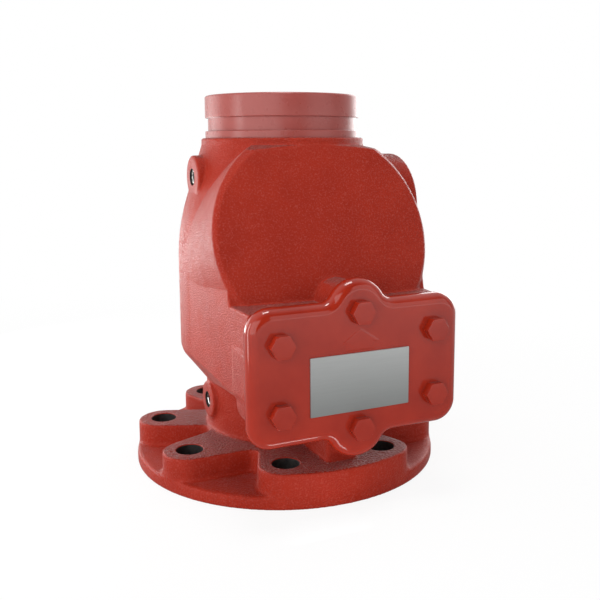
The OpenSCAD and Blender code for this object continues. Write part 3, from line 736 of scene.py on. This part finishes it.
def valve_casting():
    """The cast body without its grooved end: rounded all over, then drilled and faced."""
    made = cast_copy("body", "valve_casting", casting_fillers(), flange_share)
    drilled(made, casting_cutters())
    casting_surfaces(made.data)
    made.data.shade_smooth()
    made.data.set_sharp_from_angle(angle=math.radians(CAST_SHARP))
    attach(made, "valve_body")
    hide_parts("body")


def grooved_outlet():
    """The machined end: its section, with small broken edges, turned about the axis."""
    inside = OUTLET_BORE_R
    section = [
        (inside, SHOULDER_TOP - 6), (inside + 3, SHOULDER_TOP - 6), (OUTLET_R - 1.2, SHOULDER_TOP - 2.5),
        (OUTLET_R, SHOULDER_TOP - 0.5), (OUTLET_R, GROOVE_LOW), (GROOVE_R, GROOVE_LOW),
        (GROOVE_R, GROOVE_TOP), (OUTLET_R, GROOVE_TOP), (OUTLET_R, TOTAL_H - 0.9),
        (OUTLET_R - 0.9, TOTAL_H), (inside + 0.7, TOTAL_H), (inside, TOTAL_H - 0.7),
    ]
    points, faces = skin(turned(rounded_profile(section, 0.5), 192), close_rows=True)
    finish(new_piece("grooved_outlet", points, faces, 40), OUTLET_PAINT)


# The cover and what is on it

def arc(x, z, radius, first, last, steps=16):
    """Points of an arc about (x, z) between two angles in degrees."""
    angle = np.radians(np.linspace(first, last, steps + 1))
    return np.stack([x + radius * np.cos(angle), z + radius * np.sin(angle)], axis=1)


def cover_outline(inset):
    """The cover's outline drawn in by an inset: a quarter made of the corner's arc, the hollow
    fillet beside the lobe and the lobe's arc, mirrored to all four quarters."""
    fillet_z = COVER_HALF_H + LOBE_FILLET_R
    rise = fillet_z - LOBE_Z
    fillet_x = math.sqrt((LOBE_R + LOBE_FILLET_R) ** 2 - rise ** 2)
    meet = math.degrees(math.atan2(rise, fillet_x))
    quarter = np.vstack([
        arc(COVER_HALF_W - COVER_CORNER_R, COVER_HALF_H - COVER_CORNER_R, COVER_CORNER_R - inset, 0, 90),
        arc(fillet_x, fillet_z, LOBE_FILLET_R + inset, -90, meet - 180),
        arc(0, LOBE_Z, LOBE_R - inset, meet, 90),
    ])
    back = quarter[:-1][::-1]
    return np.vstack([quarter, back * [-1, 1], quarter[1:] * [-1, -1], back[:-1] * [1, -1]])


def handhole_cover():
    """The cover: the outline at the back, straight walls, a quarter round at the edge, and a
    front face made of outlines drawn in towards the middle."""
    levels = [(4.0, 0.0), (0.6, 0.0), (0.0, 0.6), (0.0, 1.2)]
    levels += [(COVER_EDGE_R * (1 - math.cos(a)), COVER_T - COVER_EDGE_R + COVER_EDGE_R * math.sin(a))
               for a in np.linspace(0.0, TAU / 4, 15)]
    rings = [lifted(cover_outline(inset), height) for inset, height in levels]
    face = rings[-1][:, :2]
    rings += [lifted(face * share, COVER_T) for share in (0.985, 0.9, 0.7, 0.4)]
    rings = np.array([lifted(rings[0][:, :2] * 0.5, 0.0)] + rings)
    rings[..., 1] += COVER_Z
    points, faces = skin(to_front(rings, COVER_BACK), cap_first=True, cap_last=True)
    made = finish(new_piece("cover_plate", points, faces, 60), COVER_PAINT)
    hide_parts("handhole_cover")


def flow_arrow():
    """The plain arrow cast on the cover, pointing with the flow: a shaft and a head, rounded at
    all seven corners and standing out with soft sides."""
    low = PLATE_Z + PLATE_H / 2 + 1
    head = low + ARROW_SHAFT_H
    right = [(ARROW_SHAFT_HALF_W, low), (ARROW_SHAFT_HALF_W, head), (ARROW_HEAD_HALF_W, head)]
    left = [(-x, z) for x, z in right[::-1]]
    loop = rounded_profile([left[-1]] + right + [(0, head + ARROW_HEAD_H)] + left[:-1], 0.7)
    middle = np.array([0.0, head + 1.5])
    sides = ((0.0, -1.0), (0.0, 0.0), (0.5, 0.05), (1.0, 0.15), (1.5, 0.20), (2.2, 0.21))
    rings = [lifted(middle + (loop - middle) * (1 - inset / 9), height) for inset, height in sides]
    points, faces = skin(to_front(rings, COVER_FACE), cap_first=True, cap_last=True)
    finish(new_piece("flow_arrow", points, faces, 60), COVER_PAINT)


def cover_lug(name, start, end):
    """A hinge lug behind the cover, seen along its pin: a round eye and two sides that widen to
    the cover, with a hole for the pin, given thickness along the pin."""
    pin = np.array([-HINGE_Y, HINGE_Z])
    eye = arc(*pin, LUG_R, 90, -90, 24)
    root = -COVER_BACK - 1
    lower = [(-97, HINGE_Z - LUG_R), (-98.5, HINGE_Z - LUG_FOOT_HALF_H), (root, HINGE_Z - LUG_FOOT_HALF_H)]
    upper = [(y, 2 * HINGE_Z - z) for y, z in lower[::-1]]
    outline = np.vstack([eye, lower, upper])
    away = outline - pin
    hole = pin + LUG_HOLE_R * away / np.linalg.norm(away, axis=1)[:, None]
    drawn_in = pin + 0.95 * away
    flats = ((hole, start), (drawn_in, start), (outline, start + 0.6),
             (outline, end - 0.6), (drawn_in, end), (hole, end))
    rings = np.array([lifted(flat, x)[:, [2, 0, 1]] for flat, x in flats])
    points, faces = skin(rings, close_rows=True)
    finish(new_piece(name, points, faces, 40), COVER_PAINT)


def hexagon_rings(apothem, levels, blunt):
    """Rings of a hexagon: at angle t the radius is the apothem over the cosine of the angle from
    the nearest flat's middle, and its corners are blunt by a given length. Each level gives a
    height, the share of that radius, and the radius of a cone that cuts the corners there."""
    angle = np.linspace(0, TAU, 96, endpoint=False)
    off = np.abs(angle % (TAU / 6) - TAU / 12)
    radius = np.minimum(apothem / np.cos(off), apothem / math.cos(TAU / 12) - blunt)
    ways = np.stack([np.cos(angle), np.sin(angle)], axis=1)
    return [lifted(np.minimum(radius * share, cone)[:, None] * ways, height)
            for height, share, cone in levels]


def cover_bolt(number):
    """A hexagon head whose corners a cone cuts off at the top, on a round shank in the cover."""
    x, z = COVER_BOLTS[number - 1]
    top, corner, uncut = BOLT_HEAD_H, BOLT_HEAD_APOTHEM / math.cos(TAU / 12), math.inf
    levels = [(-0.3, 0.98, uncut), (0.0, 0.985, uncut), (0.35, 1.0, uncut), (top - 0.9, 1.0, uncut),
              (top - 0.45, 1.0, corner + 0.1), (top - 0.25, 1.0, corner - 0.16),
              (top - 0.1, 0.997, corner - 0.38), (top - 0.02, 0.988, corner - 0.52),
              (top, 0.965, corner - 0.7), (top, 0.5, uncut)]
    shank = turned([(BOLT_SHANK_R - 0.8, -BOLT_SHANK_L), (BOLT_SHANK_R, 0.8 - BOLT_SHANK_L),
                    (BOLT_SHANK_R, -0.3)], 96)
    rings = np.concatenate([shank, hexagon_rings(BOLT_HEAD_APOTHEM, levels, 0.105)])
    place = to_front(rings, COVER_FACE) + [x, 0, COVER_Z + z]
    points, faces = skin(place, cap_first=True, cap_last=True)
    made = new_piece(f"cover_bolt_{number}_painted", points, faces, 28)
    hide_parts(f"cover_bolt_{number}")
    finish(made, BOLT_PAINT)


def name_plate():
    """The blank plate: a thin rounded rectangle with softly broken edges."""
    half_w, half_h = PLATE_W / 2, PLATE_H / 2
    corners = [(-half_w, -half_h), (half_w, -half_h), (half_w, half_h), (-half_w, half_h)]
    loop = rounded_profile(corners, 0.5, 5)
    levels = ((0.998, -0.1), (1.0, 0.1), (1.0, PLATE_T - 0.2),
              (0.9975, PLATE_T), (0.9, PLATE_T), (0.4, PLATE_T))
    rings = np.array([lifted(loop * share, height) for share, height in levels])
    rings[..., 1] += PLATE_Z
    points, faces = skin(to_front(rings, COVER_FACE), cap_first=True, cap_last=True)
    made = new_piece("blank_plate", points, faces, 30)
    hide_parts("nameplate")
    finish(made, PLATE)


def gauge_plug(name, node, port):
    """A threaded plug: a round body with thread ridges, a broken outer edge, and a hexagon
    socket whose rings shrink from the face to the bottom."""
    crest, root, half_pitch = 5.95, 5.5, 0.4
    thread = [(crest if k % 2 else root, -8.2 + half_pitch * k) for k in range(19)]
    face = [(5.9, -0.6), (5.75, -0.25), (5.35, 0.0), (4.4, 0.0)]
    outside = turned([(5.2, -9.0), (5.7, -8.6)] + thread + face, 96)
    levels = [(0.0, 1.14, math.inf), (-0.5, 1.0, math.inf), (-4.6, 1.0, math.inf), (-4.9, 0.9, math.inf)]
    rings = np.concatenate([outside, hexagon_rings(3.2, levels, 0.03)])
    outer = port.face - PLUG_SINK
    place = np.stack([-outer - rings[..., 2], rings[..., 0], port.height + rings[..., 1]], axis=-1)
    points, faces = skin(place, cap_first=True, cap_last=True)
    made = new_piece(name, points, faces, 25)
    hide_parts(node)
    finish(made, PLUG)


# Camera, floor and light

def photo_camera():
    """The photograph's camera, from its place and its turn, lean and roll."""
    turn, lean, roll = (math.radians(angle) for angle in (CAMERA_TURN, CAMERA_LEAN, CAMERA_ROLL))
    level = Vector((math.cos(turn), math.sin(turn), 0.0))
    back = Vector((math.sin(turn) * math.cos(lean), -math.cos(turn) * math.cos(lean), math.sin(lean)))
    upright = back.cross(level)
    right = math.cos(roll) * level + math.sin(roll) * upright
    up = math.cos(roll) * upright - math.sin(roll) * level
    data = bpy.data.cameras.new("camera")
    data.sensor_width = SENSOR_MM
    data.lens = FOCAL_PX / PICTURE_PX * SENSOR_MM
    data.shift_x = 0.5 - MIDDLE_PX[0] / PICTURE_PX
    data.shift_y = MIDDLE_PX[1] / PICTURE_PX - 0.5
    data.clip_start = 0.02
    made = linked("camera", data)
    made.matrix_world = Matrix.Translation(CAMERA_PLACE) @ Matrix((right, up, back)).transposed().to_4x4()
    bpy.context.scene.camera = made


def soft_box(name, place, target, width, height, power):
    """A rectangular area light that faces its target."""
    data = bpy.data.lights.new(name, "AREA")
    data.shape = "RECTANGLE"
    data.size, data.size_y = width, height
    data.energy = power
    made = linked(name, data)
    made.location = place
    made.rotation_euler = (Vector(target) - Vector(place)).to_track_quat("-Z", "Y").to_euler()


def seen_not_lit(tree):
    """1 for the rays of sight, gloss and clear things, and 0 for those that carry light; and the
    rays of gloss by themselves."""
    path = tree.nodes.new("ShaderNodeLightPath")
    sight = path.outputs["Is Camera Ray"]
    for other in ("Is Glossy Ray", "Is Transmission Ray"):
        either = tree.nodes.new("ShaderNodeMath")
        either.operation = "MAXIMUM"
        tree.links.new(sight, either.inputs[0])
        tree.links.new(path.outputs[other], either.inputs[1])
        sight = either.outputs[0]
    return sight, path.outputs["Is Glossy Ray"]


def dimmed_gloss(tree, gloss, change):
    """1, with the change added where the ray is one of gloss."""
    made = tree.nodes.new("ShaderNodeMath")
    made.operation = "MULTIPLY_ADD"
    tree.links.new(gloss, made.inputs[0])
    tree.links.new(change, made.inputs[1])
    made.inputs[2].default_value = 1.0
    return made.outputs[0]


def mixed(tree, share, first, second):
    """A shader that is the first where the share is 0 and the second where it is 1."""
    made = tree.nodes.new("ShaderNodeMixShader")
    for target, source in zip(made.inputs, (share, first, second)):
        tree.links.new(source, target)
    return made.outputs[0]


def pale_floor():
    """A wide floor just under the flange. Close to the valve it keeps a share of its real shade,
    and that share fades with the distance, so the far floor runs into the white studio."""
    rings = turned([(400, -0.02), (1500, -0.02), (6000, -0.02)], 96)
    points, faces = skin(rings, cap_first=True)
    mesh = bpy.data.meshes.new("floor")
    mesh.from_pydata((points * MM).tolist(), [], [face[::-1] for face in faces])
    made = linked("floor", mesh)
    floor = Finish("pale_floor", (0.94, 0.94, 0.94), 0.9, Specular_IOR_Level=0.0)
    white = floor.node("ShaderNodeEmission")
    white.inputs["Color"].default_value = (1, 1, 1, 1)
    sight, gloss = seen_not_lit(floor.tree)
    share = map_span(floor.tree, floor.radial(), 0.16, 0.75, FLOOR_WHITE, 1.0, "SMOOTHSTEP")
    # Painted shade: the floor close to the valve is dimmed for rays of gloss, as though the valve shaded it.
    change = map_span(floor.tree, floor.radial(), 0.15, 0.8, NEAR_FLOOR_SHADE_TO_GLOSS - 1.0, 0.0, "SMOOTHSTEP")
    floor.join(dimmed_gloss(floor.tree, gloss, change), white.inputs["Strength"])
    both = mixed(floor.tree, floor.maths("MULTIPLY", sight, share), floor.shader.outputs[0], white.outputs[0])
    floor.join(both, floor.tree.nodes["Material Output"].inputs["Surface"])
    mesh.materials.append(floor.material)


def studio_world():
    """A plain studio: white to sight and gloss, dim to gloss on the camera's side, and a soft
    even light on the object."""
    world = bpy.data.worlds.new("studio")
    bpy.context.scene.world = world
    world.use_nodes = True
    tree = world.node_tree
    soft = tree.nodes["Background"]
    soft.inputs["Color"].default_value = (1, 1, 1, 1)
    soft.inputs["Strength"].default_value = SOFT_LIGHT
    white = tree.nodes.new("ShaderNodeBackground")
    white.inputs["Color"].default_value = (1, 1, 1, 1)
    way = tree.nodes.new("ShaderNodeTexCoord")
    parts = tree.nodes.new("ShaderNodeSeparateXYZ")
    tree.links.new(way.outputs["Generated"], parts.inputs[0])
    sight, gloss = seen_not_lit(tree)
    change = map_span(tree, parts.outputs["Y"], -0.75, 0.1, FRONT_GLOSS - 1.0, 0.0, "SMOOTHSTEP")
    tree.links.new(dimmed_gloss(tree, gloss, change), white.inputs["Strength"])
    both = mixed(tree, sight, soft.outputs[0], white.outputs[0])
    tree.links.new(both, tree.nodes["World Output"].inputs["Surface"])


valve_casting()
grooved_outlet()
handhole_cover()
flow_arrow()
cover_lug("cover_lug_left", -LUG_OUTER, -LUG_INNER)
cover_lug("cover_lug_right", LUG_INNER, LUG_OUTER)
for number in range(1, len(COVER_BOLTS) + 1):
    cover_bolt(number)
name_plate()
gauge_plug("upper_plug_socket", "pipe_plug_upper", UPPER_PORT)
gauge_plug("lower_plug_socket", "pipe_plug_lower", LOWER_PORT)
for node, material in KEPT_NODES.items():
    for place in cad(node).material_slots:
        place.material = material

photo_camera()
pale_floor()
studio_world()
for box in SOFT_BOXES:
    soft_box(*box)

bpy.context.scene.view_settings.view_transform = "Standard"
